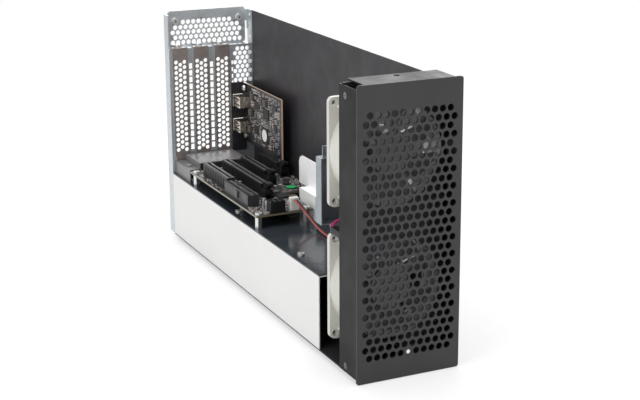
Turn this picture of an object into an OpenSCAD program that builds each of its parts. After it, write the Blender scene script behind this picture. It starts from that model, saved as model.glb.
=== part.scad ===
// Desktop expansion chassis for plug-in cards, shown with its U-shaped cover off.
// Inside a node, x runs from the left side, y from the front face and z from the floor.

/* [Chassis] */
// Width of the front face
body_w = 82; // [82:1:86]
// Depth from the front face to the rear edge
body_d = 395; // [390:1:410]
// Height of the front face above the floor
body_h = 215; // [213:1:220]
// Thickness of the folded sheet
sheet = 1; // [0.8:0.1:1.2]
// Height of the base sheet above the floor
base_z = 4; // [4:0.5:6]
// Height of the right wall's top edge
wall_top = 208.5; // [205:0.5:209]
// Depth of the front's folded side flanges
flange_d = 28; // [26:1:30]

/* [Front face] */
// Thickness of the perforated face
face_t = 1.5; // [1.2:0.1:2]
// Corner radius of the face
face_r = 2; // [1:0.5:3]
// Diameter of the air holes
hole_d = 5; // [4.6:0.1:5.2]
// Distance between the air holes, both ways
hole_pitch = 6.24; // [6.1:0.01:6.3]
// Rows of air holes
hole_rows = 29; // [25:2:29]
// Height of the lowest row of air holes
first_row_z = 19; // [18:0.5:22]

/* [Fans] */
// Side of the square fan frame
fan_size = 80; // [80:1:80]
// Depth of the fan frame
fan_depth = 25; // [25:1:25]
// Diameter of the fan's air duct
duct_d = 76; // [75:0.5:77]
// Height of the lower fan's lower edge
lower_fan_z = 19; // [18:0.5:20]
// Height of the upper fan's lower edge
upper_fan_z = 118.5; // [117:0.5:120]
// Number of blades on a rotor
blades = 7; // [5:1:9]
// Radial clearance of the rotor's shaft in its bearing
bearing_gap = 0.05; // [0.03:0.01:0.08]

/* [Rear slots] */
// Distance between two slots
slot_pitch = 20.32; // [20.32:0.01:20.32]
// Distance from the left side to the first slot's middle
first_slot_x = 10; // [9.5:0.1:10.2]
// Width of a slot's opening in the rear sheet
window_w = 12.06; // [11.5:0.01:12.5]
// Width of a slot cover
cover_w = 14.2; // [13.6:0.1:14.6]
// Height of the ledge that the slot covers hang on
ledge_z = 178; // [177:0.5:179]

/* [Power section] */
// Height of the shelf over the power section
shelf_z = 62; // [60:0.5:64]
// Distance from the front face to the shelf's front edge
shelf_y = 63; // [60:1:66]
// Length of the power supply
psu_len = 150; // [140:1:150]
// Height of the power supply
psu_h = 40.5; // [38:0.5:42]

/* [Boards] */
// Height of the backplane above the shelf
standoff_h = 9.5; // [8:0.5:10]
// Thickness of the circuit boards
pcb_t = 1.6; // [1.6:0.1:1.6]
// Height of a card connector
slot_h = 11.2; // [11:0.1:11.5]
// Distance from the left side to the interface card's board
host_x = 70.1; // [69.5:0.1:70.5]

/* [Hidden] */

$fn = 48;
fine = 0.01;
rear_y = body_d - 12;
floor_z = base_z + sheet;
inner_w = body_w - 2 * sheet;
fan_y = flange_d - 3;
frame_t = 1.2;
frame_y = fan_y - frame_t;
fan_r = fan_size / 2;
hub_r = 16;
shaft_r = 1.5;
screw_span = 71.5;
bezel_screw_y = 19;
cover_screw_y = 21.6;
bezel_screw_heights = [base_z + 4.5, 205];
shelf_screw_depths = [112, 240, 352];
plate_screw_x = [10, 72];
plate_screw_z = 201.5;
tray_screw_x = [13, 25];
tray_screw_z = 111;
cover_t = 0.8;
tab_hole_y = rear_y + 6.5;
shelf_top = shelf_z + sheet;
board_z = shelf_top + standoff_h;
board_top = board_z + pcb_t;
board_front_y = 186;
board_step_y = 240;
board_back_y = 341;
board_left_x = 2;
board_notch_x = 52;
board_right_x = 79;
lead_d = 1.4;

black = [0.05, 0.05, 0.055];
graphite = [0.08, 0.08, 0.085];
zinc = [0.5, 0.53, 0.55];
taupe = [0.45, 0.41, 0.39];
fan_grey = [0.78, 0.78, 0.75];
pcb_black = [0.03, 0.025, 0.03];

function slot_x(i) = first_slot_x + i * slot_pitch;

// Put a piece that is drawn from the front left corner round the row's origin
module place() {
    translate([-body_w / 2, -body_d / 2, 0]) children();
}

// A cylinder along +Y from its start
module rod_y(d, len) {
    rotate([-90, 0, 0]) cylinder(d = d, h = len);
}

// A cylinder along +X from its start
module rod_x(d, len) {
    rotate([0, 90, 0]) cylinder(d = d, h = len);
}

// Turn a flat outline in x and z into a plate that starts at y
module wall_y(y, t) {
    translate([0, y + t, 0]) rotate([90, 0, 0]) linear_extrude(t) children();
}

// A rectangle with round corners, drawn with exact arcs
module round_rect(w, h, r) {
    translate([r, 0]) square([w - 2 * r, h]);
    translate([0, r]) square([w, h - 2 * r]);
    for (x = [r, w - r], y = [r, h - r]) translate([x, y]) circle(r = r);
}

// A flat-headed screw set flush in a side sheet, its shank pointing along +X
module flush_screw() {
    translate([0.2, 0, 0]) rod_x(5, sheet - 0.2);
    translate([sheet - fine, 0, 0]) rod_x(2.9, 4);
}

// A screw with a round head, its axis along +Z, the head's seat at z = 0
module pan_screw(head_d, head_h, shank_d, shank_l) {
    cylinder(d = head_d, h = head_h);
    translate([0, 0, -shank_l]) cylinder(d = shank_d, h = shank_l + fine);
}

module base_pan() color(graphite) place() difference() {
    union() {
        translate([sheet, face_t, base_z]) cube([inner_w, flange_d, sheet]);
        translate([0, flange_d, base_z]) cube([body_w, rear_y - flange_d, sheet]);
        translate([body_w - sheet, flange_d, base_z]) cube([sheet, rear_y - flange_d, wall_top - base_z]);
    }
    for (y = shelf_screw_depths) translate([body_w - sheet - 1, y, shelf_z - 6]) rod_x(5.2, sheet + 2);
}

module air_holes() {
    mid = body_w / 2;
    for (r = [0 : hole_rows - 1]) {
        count = r % 2 == 0 ? 11 : 12;
        for (i = [0 : count - 1])
            translate([mid + (i - (count - 1) / 2) * hole_pitch, first_row_z + r * hole_pitch])
                circle(d = hole_d);
    }
}

module front_face() color(black) place() wall_y(0, face_t) difference() {
    translate([0, 0.5]) round_rect(body_w, body_h - 0.5, face_r);
    air_holes();
}

module front_flanges() color(black) place() difference() {
    union() {
        for (x = [0, body_w - sheet])
            translate([x, face_t, base_z]) cube([sheet, flange_d - face_t, body_h - base_z - 3]);
        translate([6, face_t, body_h - sheet]) cube([body_w - 12, 26, sheet]);
        translate([6, face_t, base_z - sheet]) cube([body_w - 12, 12, sheet]);
    }
    translate([body_w / 2, cover_screw_y, body_h - sheet - 1]) cylinder(d = 4.5, h = sheet + 2);
    for (z = bezel_screw_heights) translate([-1, bezel_screw_y, z]) rod_x(5.2, body_w + 2);
}

module front_frame() color(graphite) place() difference() {
    union() {
        translate([sheet, frame_y, floor_z]) cube([inner_w, frame_t, body_h - 2 * sheet - floor_z]);
        translate([8, 6, body_h - 2 * sheet]) cube([body_w - 16, frame_y + frame_t - 6, sheet]);
        for (x = [sheet, body_w - 2 * sheet]) for (z = [floor_z, 198])
            translate([x, 12, z]) cube([sheet, frame_y - 12 + fine, 12]);
        translate([8, 12, floor_z]) cube([body_w - 16, frame_y - 12 + fine, sheet]);
    }
    for (z = [lower_fan_z, upper_fan_z]) translate([body_w / 2, frame_y - 1, z + fan_r]) {
        rod_y(duct_d, frame_t + 2);
        for (sx = [-1, 1], sz = [-1, 1])
            translate([sx * screw_span / 2, 0, sz * screw_span / 2]) rod_y(4.3, frame_t + 2);
    }
    translate([body_w / 2, cover_screw_y, body_h - 2 * sheet - 1]) cylinder(d = 4.5, h = sheet + 2);
    for (z = bezel_screw_heights) translate([0, bezel_screw_y, z]) rod_x(3, body_w);
}

module slot_window(i, z0, z1) {
    translate([slot_x(i) - window_w / 2, z0]) square([window_w, z1 - z0]);
}

module rear_outline() difference() {
    translate([0, floor_z]) square([body_w, ledge_z - floor_z]);
    for (i = [0 : 2]) slot_window(i, 82, 170);
    translate([60.2, 90]) square([10.2, 46]);
    for (i = [0 : 2], k = [0 : 12])
        translate([slot_x(i) + slot_pitch / 2 - 0.8, 84 + k * 6.3]) square([1.6, 3.6]);
    for (r = [0 : 7], k = [0 : (r % 2 == 0 ? 3 : 2)])
        translate([slot_x(3) - 7.2 + k * 4.8 + (r % 2) * 2.4, 144.5 + r * 4.2]) circle(d = 3.4);
    translate([6, floor_z + 2]) square([70, psu_h - 4]);
}

module rear_panel() color(zinc) place() difference() {
    union() {
        wall_y(rear_y, sheet) rear_outline();
        translate([0, rear_y, ledge_z - sheet]) cube([body_w, 12, sheet]);
        for (x = [0, body_w - sheet]) translate([x, rear_y + sheet - fine, floor_z])
            cube([sheet, 11, wall_top - floor_z]);
        for (x = [0, body_w - 14]) translate([x, body_d - sheet, 190]) cube([14, sheet, 18]);
    }
    for (z = [183.5, 204]) translate([body_w - sheet - 1, body_d - 6, z]) rod_x(3.4, sheet + 2);
    for (i = [0 : 2]) translate([slot_x(i), tab_hole_y, ledge_z - sheet - 1]) cylinder(d = 3, h = sheet + 2);
    for (x = plate_screw_x) translate([x, body_d - sheet - 1, plate_screw_z]) rod_y(3.4, sheet + 2);
}

module plate_holes() {
    counts = [14, 13, 14, 13, 10];
    for (r = [0 : 4], k = [0 : counts[r] - 1])
        translate([body_w / 2 - 1 + (k - (counts[r] - 1) / 2) * 5, 182 + r * 4.6]) circle(d = 3.7);
}

module rear_top_plate() color(zinc) place() wall_y(body_d - 2 * sheet, sheet) difference() {
    translate([3, ledge_z]) round_rect(75, 33, 3);
    plate_holes();
    for (x = plate_screw_x) translate([x, plate_screw_z]) circle(d = 3.4);
}

module slot_cover(i) place() translate([slot_x(i), 0, 0]) difference() {
    union() {
        wall_y(rear_y - cover_t, cover_t) difference() {
            polygon([[-cover_w / 2, 80], [-5, 74], [5, 74], [cover_w / 2, 80],
                [cover_w / 2, ledge_z + cover_t], [-cover_w / 2, ledge_z + cover_t]]);
            for (c = [-1, 0, 1], k = [0 : (c == 0 ? 16 : 17)])
                translate([c * 4, 84.2 + k * 4.8 + (c == 0 ? 2.4 : 0)]) circle(d = 3.2);
        }
        translate([0, 0, ledge_z]) linear_extrude(cover_t) difference() {
            union() {
                translate([-cover_w / 2, rear_y - 0.4]) square([cover_w, 5]);
                translate([0, rear_y + 3.9]) circle(r = cover_w / 2 - 1.2);
            }
            translate([0, tab_hole_y]) circle(d = 3.4);
        }
    }
}

module slot_cover_1() color(taupe) slot_cover(0);
module slot_cover_2() color(taupe) slot_cover(1);
module slot_cover_3() color(taupe) slot_cover(2);

module slot_screws() color("silver") place() for (i = [0 : 2])
    translate([slot_x(i), tab_hole_y, ledge_z + cover_t]) pan_screw(6, 2, 2.9, 4);

module plate_screws() color("silver") place() for (x = plate_screw_x)
    translate([x, body_d - 2 * sheet, plate_screw_z]) rotate([90, 0, 0]) pan_screw(6, 1.8, 3.2, 1.9);

module bezel_screws() color(graphite) place() for (z = bezel_screw_heights) {
    translate([0, bezel_screw_y, z]) flush_screw();
    translate([body_w, bezel_screw_y, z]) mirror([1, 0, 0]) flush_screw();
}

module wall_screws() color(graphite) place() for (y = shelf_screw_depths)
    translate([body_w, y, shelf_z - 6]) mirror([1, 0, 0]) flush_screw();

// The fan frame: two square rims, a round duct, corner webs, arms and a bearing
module fan_frame(z0) place() translate([body_w / 2, fan_y + fan_depth, z0 + fan_r]) rotate([90, 0, 0]) {
    rim_t = 4;
    difference() {
        union() {
            for (z = [0, fan_depth - rim_t]) translate([0, 0, z]) linear_extrude(rim_t)
                translate([-fan_r, -fan_r]) round_rect(fan_size, fan_size, 4);
            cylinder(d = fan_size - 0.4, h = fan_depth);
            for (a = [45 : 90 : 315]) rotate(a) translate([38, -1, 0]) cube([9.5, 2, fan_depth]);
        }
        translate([0, 0, -1]) cylinder(d = duct_d, h = fan_depth + 2);
        for (sx = [-1, 1], sz = [-1, 1]) translate([sx * screw_span / 2, sz * screw_span / 2, -1])
            cylinder(d = 4.3, h = fan_depth + 2);
    }
    difference() {
        union() {
            cylinder(r = hub_r, h = 4);
            for (a = [20 : 90 : 290]) rotate(a) translate([hub_r - 1, -2, 0])
                cube([duct_d / 2 - hub_r + 1.6, 4, 3]);
            cylinder(d = 7, h = 12);
        }
        translate([0, 0, 1]) cylinder(r = shaft_r + bearing_gap, h = 12);
    }
}

module fan_frame_upper() color(fan_grey) fan_frame(upper_fan_z);
module fan_frame_lower() color(fan_grey) fan_frame(lower_fan_z);

// A blade's outline seen along the axis: a strip bent round an arc
function blade_point(r, side) = let (a = 6 * sin((r - hub_r) * 4) + side * 50 / r)
    [r * cos(a), r * sin(a)];

module blade_outline() {
    polygon(concat([for (k = [0 : 5]) blade_point(hub_r - 0.6 + k * 4.4, 1)],
        [for (k = [5 : -1 : 0]) blade_point(hub_r - 0.6 + k * 4.4, -1)]));
}

// The rotor: a cupped hub round the bearing, a shaft and twisted blades
module fan_rotor(z0) place() translate([body_w / 2, fan_y + fan_depth, z0 + fan_r]) rotate([90, 0, 0]) {
    difference() {
        translate([0, 0, 5.5]) cylinder(r = hub_r, h = 16.5);
        translate([0, 0, 4.5]) cylinder(d = 9, h = 8.5);
    }
    translate([0, 0, 2]) cylinder(r = shaft_r, h = 14);
    for (i = [0 : blades - 1]) rotate(i * 360 / blades) translate([0, 0, 6.5])
        linear_extrude(height = 14.5, twist = -38, slices = 8) blade_outline();
}

module fan_rotor_upper() color(fan_grey) fan_rotor(upper_fan_z);
module fan_rotor_lower() color(fan_grey) fan_rotor(lower_fan_z);

module fan_screws() color(graphite) place() for (z = [lower_fan_z, upper_fan_z], sx = [-1, 1], sz = [-1, 1])
    translate([body_w / 2 + sx * screw_span / 2, frame_y, z + fan_r + sz * screw_span / 2])
        rotate([90, 0, 0]) pan_screw(7, 1.6, 4, 7);

module psu_shelf() color([0.12, 0.13, 0.16]) place() difference() {
    union() {
        translate([0, shelf_y, shelf_z]) cube([body_w - sheet, rear_y - shelf_y, sheet]);
        translate([body_w - 2 * sheet, shelf_y, shelf_z - 12]) cube([sheet, rear_y - shelf_y, 12 + fine]);
    }
    for (p = standoff_spots) translate([p[0], p[1], shelf_z - 1]) cylinder(d = 3, h = sheet + 2);
    for (y = shelf_screw_depths) {
        translate([body_w - 2 * sheet - 1, y, shelf_z - 6]) rod_x(3.2, sheet + 2);
        translate([8, y, shelf_z - 1]) cylinder(d = 3, h = sheet + 2);
    }
}

module psu_side_panel() color([0.9, 0.9, 0.9]) place() {
    translate([0, shelf_y, floor_z]) cube([sheet, rear_y - shelf_y, shelf_z - floor_z]);
    translate([0, shelf_y, shelf_z - sheet]) cube([12, rear_y - shelf_y, sheet]);
}

module shelf_screws() color("silver") place() for (y = shelf_screw_depths)
    translate([8, y, shelf_top]) pan_screw(5.5, 1.4, 2.9, 0.9);

module power_supply() color([0.6, 0.61, 0.62]) place() difference() {
    translate([1.5, rear_y - psu_len, floor_z]) cube([body_w - 4, psu_len, psu_h]);
    translate([10, rear_y - 9, floor_z + 8.5]) cube([27, 10, 23]);
    translate([58, rear_y - 9, floor_z + 20.2]) rod_y(35, 10);
    for (k = [0 : 11]) translate([12 + k * 5, rear_y - psu_len - 1, floor_z + 8]) cube([2.4, 3, 24]);
}

module power_inlet() color(graphite) place() translate([23.5, rear_y, floor_z + 20]) {
    difference() {
        translate([-13.5, -9, -11.5]) cube([27, 9.6, 23]);
        wall_y(-7.6, 9) polygon([[-11.5, -8], [11.5, -8], [11.5, 4], [7.5, 8], [-7.5, 8], [-11.5, 4]]);
    }
    for (p = [[-7, 0], [7, 0], [0, 4]]) translate([p[0] - 1, -8, p[1] - 2]) cube([2, 7, 4]);
}

module exhaust_grille() color("silver") place() translate([58, rear_y - 2.6, floor_z + 20.2]) {
    for (r = [5, 9.5, 14]) rotate([-90, 0, 0]) rotate_extrude() translate([r, 0]) circle(d = 1.5, $fn = 24);
    for (a = [0 : 60 : 120]) rotate([0, a, 0]) translate([-17.5, -0.7, -0.7]) cube([35, 1.4, 1.4]);
}

standoff_spots = [[5.5, 190], [48, 190], [5.5, 334], [75, 246], [62, 336], [21, 262]];

module board_outline() difference() {
    polygon([[board_left_x, board_front_y], [board_notch_x, board_front_y],
        [board_notch_x, board_step_y], [board_right_x, board_step_y],
        [board_right_x, board_back_y], [board_left_x, board_back_y]]);
    for (p = standoff_spots) translate([p[0], p[1]]) circle(d = 3.2);
}

module backplane() color(pcb_black) place() translate([0, 0, board_z]) linear_extrude(pcb_t) board_outline();

module standoffs() color([0.75, 0.65, 0.4]) place() for (p = standoff_spots)
    translate([p[0], p[1], shelf_top]) difference() {
        cylinder(d = 6, h = standoff_h, $fn = 6);
        translate([0, 0, 1.5]) cylinder(d = 3, h = standoff_h);
    }

module board_screws() color("silver") place() for (p = standoff_spots)
    translate([p[0], p[1], board_top]) pan_screw(5.6, 1.5, 2.9, 6);

// A card connector with its long card groove, from its front end to its rear end
module card_slot(x, y0, y1) place() translate([x, y0, board_top]) difference() {
    translate([-3.8, 0, 0]) cube([7.6, y1 - y0, slot_h]);
    translate([-0.9, 2, slot_h - 8]) cube([1.8, y1 - y0 - 4, 9]);
    for (k = [0 : floor((y1 - y0 - 8) / 4)], s = [-1, 1])
        translate([s * 3.8 - 0.4, 3 + k * 4, 1.5]) cube([0.8, 2, slot_h - 3]);
}

// The two ears at a connector's front end that carry a latch
module slot_ears(x, y0) place() translate([x, y0, board_top]) difference() {
    union() for (s = [-3.8, 2.7]) translate([s, -9, 0]) cube([1.1, 9 + fine, 7]);
    translate([-5, -4.5, 3.4]) rod_x(2.1, 10);
}

slot_b_y = 238;
slot_c_y = 276;
slot_d_y = 296;

module slot_a() color(graphite) card_slot(slot_x(0) + 2, 266, 324);
module slot_b() color(graphite) union() {
    card_slot(slot_x(1) + 1, slot_b_y, 328);
    slot_ears(slot_x(1) + 1, slot_b_y);
}
module slot_c() color(graphite) union() {
    card_slot(slot_x(2), slot_c_y, 332);
    slot_ears(slot_x(2), slot_c_y);
}
module slot_d() color(graphite) union() {
    card_slot(host_x + pcb_t / 2, slot_d_y, 337);
    slot_ears(host_x + pcb_t / 2, slot_d_y);
}

// A retention latch: a lever on a pin between the ears, with a hook and a finger tab
module card_latch(x, y0) place() translate([x - 2.55, y0 - 4.5, board_top + 3.4]) {
    rotate([90, 0, 90]) linear_extrude(5.1) {
        circle(r = 2.6);
        translate([-2.6, 0]) square([5.2, 8]);
        polygon([[-2.6, 5], [-7.5, 8.4], [-7.5, 10.2], [1, 10.2], [2.6, 8]]);
    }
    translate([-1.2, 0, 0]) rod_x(2, 7.5);
}

module latch_b() color(black) card_latch(slot_x(1) + 1, slot_b_y);
module latch_c() color(black) card_latch(slot_x(2), slot_c_y);
module latch_d() color(black) card_latch(host_x + pcb_t / 2, slot_d_y);

// A box header with a grid of square cells that open upwards
module cell_block(w, l, h, nx, ny) difference() {
    cube([w, l, h]);
    for (i = [0 : nx - 1], k = [0 : ny - 1])
        translate([w / nx * (i + 0.5) - 1.5, l / ny * (k + 0.5) - 1.5, 2]) cube([3, 3, h]);
}

module power_header() color([0.25, 0.25, 0.26]) place() translate([5, 212, board_top]) {
    cell_block(10.2, 51.6, 10, 2, 12);
    translate([-1.4, 20, 3]) cube([1.4 + fine, 5, 6]);
}

module cell_header() color(black) place() translate([15.5, 188, board_top])
    cell_block(13, 8.6, 9.5, 3, 2);

module fan_header() color("white") place() translate([33, 188, board_top]) {
    cube([7.6, 5.8, 3]);
    translate([0, 4.8, 0]) cube([7.6, 1, 8]);
    for (k = [0 : 2]) translate([1.3 + k * 2.54 - 0.3, 2.2, 0]) cube([0.6, 0.6, 6]);
}

module board_chips() color([0.07, 0.07, 0.08]) place() translate([0, 0, board_top]) {
    for (c = [[24, 200, 9, 9, 1.4], [42, 206, 7, 7, 1.2], [19, 226, 6, 8, 1.4], [38, 222, 10, 10, 2.2],
        [20, 250, 5, 6, 1.2], [42, 256, 8, 8, 1.3], [56, 246, 9, 9, 1.3], [60, 262, 5, 4, 1.2],
        [22, 282, 4, 5, 1.2], [40, 290, 5, 6, 1.2], [60, 300, 5, 8, 1.2], [40, 310, 4, 5, 1.2]])
        translate([c[0], c[1], 0]) cube([c[2], c[3], c[4]]);
}

module board_capacitors() color([0.3, 0.3, 0.32]) place() translate([0, 0, board_top]) {
    for (p = [[44, 195], [44, 246], [49, 248], [20, 207], [20, 214], [22, 272], [60, 280], [60, 288]])
        translate([p[0], p[1], 0]) difference() {
            cylinder(d = 4, h = 5.4);
            translate([0, 0, 5]) cylinder(d = 3.2, h = 1);
        }
}

module board_coils() color([0.2, 0.18, 0.17]) place() translate([0, 0, board_top]) {
    for (p = [[30, 212, 6], [48.5, 218, 6], [22, 240, 5], [41, 238, 6], [66, 272, 5]])
        translate([p[0], p[1], 1.75]) cube([p[2], p[2], 3.5], center = true);
}

tongue_z = board_top + slot_h - 8;

// The interface card that fills the fourth slot, its parts facing left
module host_card() color(pcb_black) place() translate([host_x + pcb_t, 0, 0]) rotate([0, -90, 0])
    linear_extrude(pcb_t) difference() {
        polygon([[88, 292], [142.5, 292], [142.5, rear_y - 1], [88, rear_y - 1], [88, 334.9],
            [tongue_z, 334.9], [tongue_z, 298.1], [88, 298.1]]);
        for (y = [297, 376]) translate([138, y]) circle(d = 2.6);
    }

module host_bracket() color(black) place() {
    wall_y(rear_y - 1, 1) difference() {
        translate([59, 78]) square([14, 64.5]);
        for (z = [97.5, 120.5]) translate([60.4, z]) square([9.8, 11]);
    }
    translate([host_x - 1, 372, 134]) cube([1, 10 + fine, 8.5]);
}

module host_ports() color([0.7, 0.72, 0.74]) place() for (z = [97.8, 120.8]) difference() {
    translate([60.6, 366, z]) cube([host_x - 60.6, rear_y - 0.2 - 366, 10.4]);
    translate([62, 376, z + 1.2]) cube([4.6, 10, 8]);
}

module host_chips() color([0.07, 0.07, 0.08]) place() {
    for (c = [[96, 320, 14, 14, 1.6], [118, 318, 10, 12, 1.4], [124, 340, 7, 9, 1.2], [100, 344, 8, 8, 1.2],
        [92, 300, 5, 7, 1.1], [110, 300, 8, 6, 1.1], [130, 300, 5, 7, 1.1], [92, 356, 6, 6, 1.1]])
        translate([host_x - c[4], c[1], c[0]]) cube([c[4], c[3], c[2]]);
}

module host_coils() color([0.3, 0.29, 0.28]) place() {
    for (p = [[133, 322], [133, 331], [133, 352], [118, 356], [102, 358]])
        translate([host_x - 3, p[1], p[0] - 3]) cube([3, 6, 6]);
}

// The stepped grey cover that bridges the rear panel and the backplane
module rear_support() color([0.35, 0.34, 0.34]) place() translate([0, 344, 0]) {
    len = 37;
    difference() {
        rotate([90, 0, 0]) translate([0, 0, -len]) linear_extrude(len) polygon([
            [2.6, shelf_top], [2.6, 74.5], [12, 74.5], [12, 80], [57.5, 80], [57.5, shelf_top],
            [56.5, shelf_top], [56.5, 79], [13, 79], [13, 73.5], [3.6, 73.5], [3.6, shelf_top]]);
        translate([7.6, 14, 72]) cylinder(d = 3, h = 4);
    }
    translate([7.6, 14, 74.5]) pan_screw(5, 1.4, 2.9, 3);
}

// The white stepped bracket beside the board
module card_support() color([0.92, 0.92, 0.92]) place() translate([0, 186, 0]) {
    translate([62, 0, 83]) cube([1, 32, 24.5]);
    translate([54, 0, 83]) cube([9, 32, 1]);
    translate([54, 0, shelf_top]) cube([1, 32, 83 - shelf_top + fine]);
    difference() {
        translate([54, 0, shelf_top]) cube([11, 32, 1]);
        for (y = [7, 25]) translate([60, y, shelf_top - 1]) cylinder(d = 3, h = 3);
    }
}

// The zinc tray behind the fans, carried by an arm from the fan frame plate
module fan_tray() color(zinc) place() {
    difference() {
        translate([3, 64, 100]) cube([42, 9, 50]);
        translate([4, 63, 101]) cube([40, 9, 48]);
    }
    translate([8, 72, 150]) cube([5, 1, 7]);
    translate([9, fan_y, 100]) cube([20, 39 + fine, 1]);
    difference() {
        translate([9, fan_y, 100]) cube([20, 1, 16]);
        for (x = tray_screw_x) translate([x, fan_y - 1, tray_screw_z]) rod_y(3, 3);
    }
}

module tray_screws() color("silver") place() for (x = tray_screw_x)
    translate([x, fan_y + 1, tray_screw_z]) rotate([-90, 0, 0]) pan_screw(5.5, 1.6, 2.9, 0.9);

module status_led() color([0.95, 0.97, 1]) place() translate([body_w / 2, 0.4, first_row_z]) rod_y(4.6, 7.6);

module led_holder() color(graphite) place() difference() {
    translate([body_w / 2 - 6, 5, 13]) cube([12, frame_y - 5, 9]);
    translate([body_w / 2, 4, first_row_z]) rod_y(4.7, 4);
}

module rubber_feet() color([0.04, 0.04, 0.04]) place() for (x = [12, body_w - 12], y = [24, 372])
    translate([x, y, 0]) cylinder(d = 11, h = base_z);

// The lower fan's lead, held from the header on the board to the fan's hub
lead_route = [[36, 188.2, 82.4], [36.5, 184, 82], [40, 178, 76], [43, 168, 69], [44, 154, 65], [43, 132, 64.5],
    [40, 108, 64.5], [38, 84, 64.5], [37, 68, 66], [37, 58, 67], [37, 52.5, 66], [37, 50, 65.5]];

function sub3(a, b) = [a[0] - b[0], a[1] - b[1], a[2] - b[2]];
function unit(v) = v / norm(v);
function along(p, i) = unit(sub3(p[min(i + 1, len(p) - 1)], p[max(i - 1, 0)]));
// A point of the curve that passes through the route, the share t of the way from point i to the next
function bend(p, i, t) = let (a = p[max(i - 1, 0)], b = p[i], c = p[i + 1], d = p[min(i + 2, len(p) - 1)])
    0.5 * (2 * b + (c - a) * t + (2 * a - 5 * b + 4 * c - d) * t * t + (3 * b - a - 3 * c + d) * t * t * t);
function smooth_route(p) =
    concat([for (i = [0 : len(p) - 2], k = [0 : 2]) bend(p, i, k / 3)], [p[len(p) - 1]]);

module wire(route, d) {
    p = smooth_route(route);
    sides = 8;
    n = len(p);
    rings = [for (i = [0 : n - 1]) let (t = along(p, i), u = unit(cross(t, [1, 0, 0.2])), v = cross(t, u))
        for (k = [0 : sides - 1]) p[i] + d / 2 * (cos(k * 360 / sides) * u + sin(k * 360 / sides) * v)];
    skin = [for (i = [0 : n - 2], k = [0 : sides - 1])
        [i * sides + k, i * sides + (k + 1) % sides, (i + 1) * sides + (k + 1) % sides, (i + 1) * sides + k]];
    ends = [[for (k = [sides - 1 : -1 : 0]) k], [for (k = [0 : sides - 1]) (n - 1) * sides + k]];
    polyhedron(points = rings, faces = concat(skin, ends), convexity = 8);
}

module lead_red() color([0.8, 0.15, 0.15]) place() wire(lead_route, lead_d);
module lead_black() color([0.05, 0.05, 0.05]) place() translate([1.6, 0, 0]) wire(lead_route, lead_d);

module lead_plug() color("white") place() difference() {
    translate([33.2, 188.2, board_top + 3]) cube([7.2, 4.4, 7.5]);
    for (k = [0 : 2]) translate([34 + k * 2.54, 190.2, board_top + 2]) cube([0.8, 0.8, 4.2]);
}

base_pan();
front_face();
front_flanges();
front_frame();
rear_panel();
rear_top_plate();
slot_cover_1();
slot_cover_2();
slot_cover_3();
slot_screws();
plate_screws();
bezel_screws();
wall_screws();
fan_frame_upper();
fan_frame_lower();
fan_rotor_upper();
fan_rotor_lower();
fan_screws();
psu_shelf();
psu_side_panel();
shelf_screws();
power_supply();
power_inlet();
exhaust_grille();
backplane();
standoffs();
board_screws();
slot_a();
slot_b();
slot_c();
slot_d();
latch_b();
latch_c();
latch_d();
power_header();
cell_header();
fan_header();
board_chips();
board_capacitors();
board_coils();
host_card();
host_bracket();
host_ports();
host_chips();
host_coils();
rear_support();
card_support();
fan_tray();
tray_screws();
status_led();
led_holder();
rubber_feet();
lead_red();
lead_black();
lead_plug();
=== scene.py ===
import math
import random
import bmesh
import bpy
from mathutils import Matrix, Vector


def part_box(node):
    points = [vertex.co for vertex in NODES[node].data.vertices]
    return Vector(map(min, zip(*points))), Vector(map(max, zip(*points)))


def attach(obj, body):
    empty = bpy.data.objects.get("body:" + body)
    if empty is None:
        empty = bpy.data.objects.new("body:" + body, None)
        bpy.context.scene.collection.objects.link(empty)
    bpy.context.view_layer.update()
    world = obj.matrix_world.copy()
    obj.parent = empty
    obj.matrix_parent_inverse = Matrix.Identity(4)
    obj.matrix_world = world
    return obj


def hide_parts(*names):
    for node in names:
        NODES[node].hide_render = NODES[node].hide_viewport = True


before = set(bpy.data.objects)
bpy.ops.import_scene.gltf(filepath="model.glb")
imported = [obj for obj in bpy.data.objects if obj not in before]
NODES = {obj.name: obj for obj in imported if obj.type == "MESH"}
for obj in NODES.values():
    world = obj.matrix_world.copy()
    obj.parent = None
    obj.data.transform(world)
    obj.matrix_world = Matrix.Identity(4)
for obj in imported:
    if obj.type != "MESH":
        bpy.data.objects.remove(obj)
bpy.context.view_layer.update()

MM = 0.001

# Places in part.scad's own terms: from the left side, the front face and the floor, in mm
BODY_W = 82.0
BODY_D = 395.0
# The upper face of the backplane, and the left face of the host card, which carries its parts
BOARD_TOP = 74.1
HOST_X = 70.1

# Corners nearer than this are welded, in metres, and edges that turn by more than this are rounded
WELD = 2e-6
SHARP = math.radians(50)


def at(x, y, z):
    """A point in the frame, in metres, from the part's left side, front face and floor, in mm."""
    return Vector(((x - BODY_W / 2) * MM, (y - BODY_D / 2) * MM, z * MM))


def metres(*sizes):
    """Sizes in mm as a tuple in metres."""
    return tuple(size * MM for size in sizes)


# Camera
# A long lens, left of the front and a little above: place in metres, angles in degrees, lens in mm
CAMERA_AT = (-0.4546, -1.0348, 0.4067)
CAMERA_TURN = 26.084
CAMERA_TILT = 14.864
CAMERA_LENS = 80.67
CAMERA_SENSOR = 36
CAMERA_SHIFT = (-0.050, -0.050)


def make_camera():
    data = bpy.data.cameras.new("camera")
    camera = bpy.data.objects.new("camera", data)
    bpy.context.scene.collection.objects.link(camera)
    data.sensor_width = CAMERA_SENSOR
    data.lens = CAMERA_LENS
    data.shift_x, data.shift_y = CAMERA_SHIFT
    camera.location = CAMERA_AT
    camera.rotation_euler = (math.radians(90 - CAMERA_TILT), 0, math.radians(-CAMERA_TURN))
    bpy.context.scene.camera = camera


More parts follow.
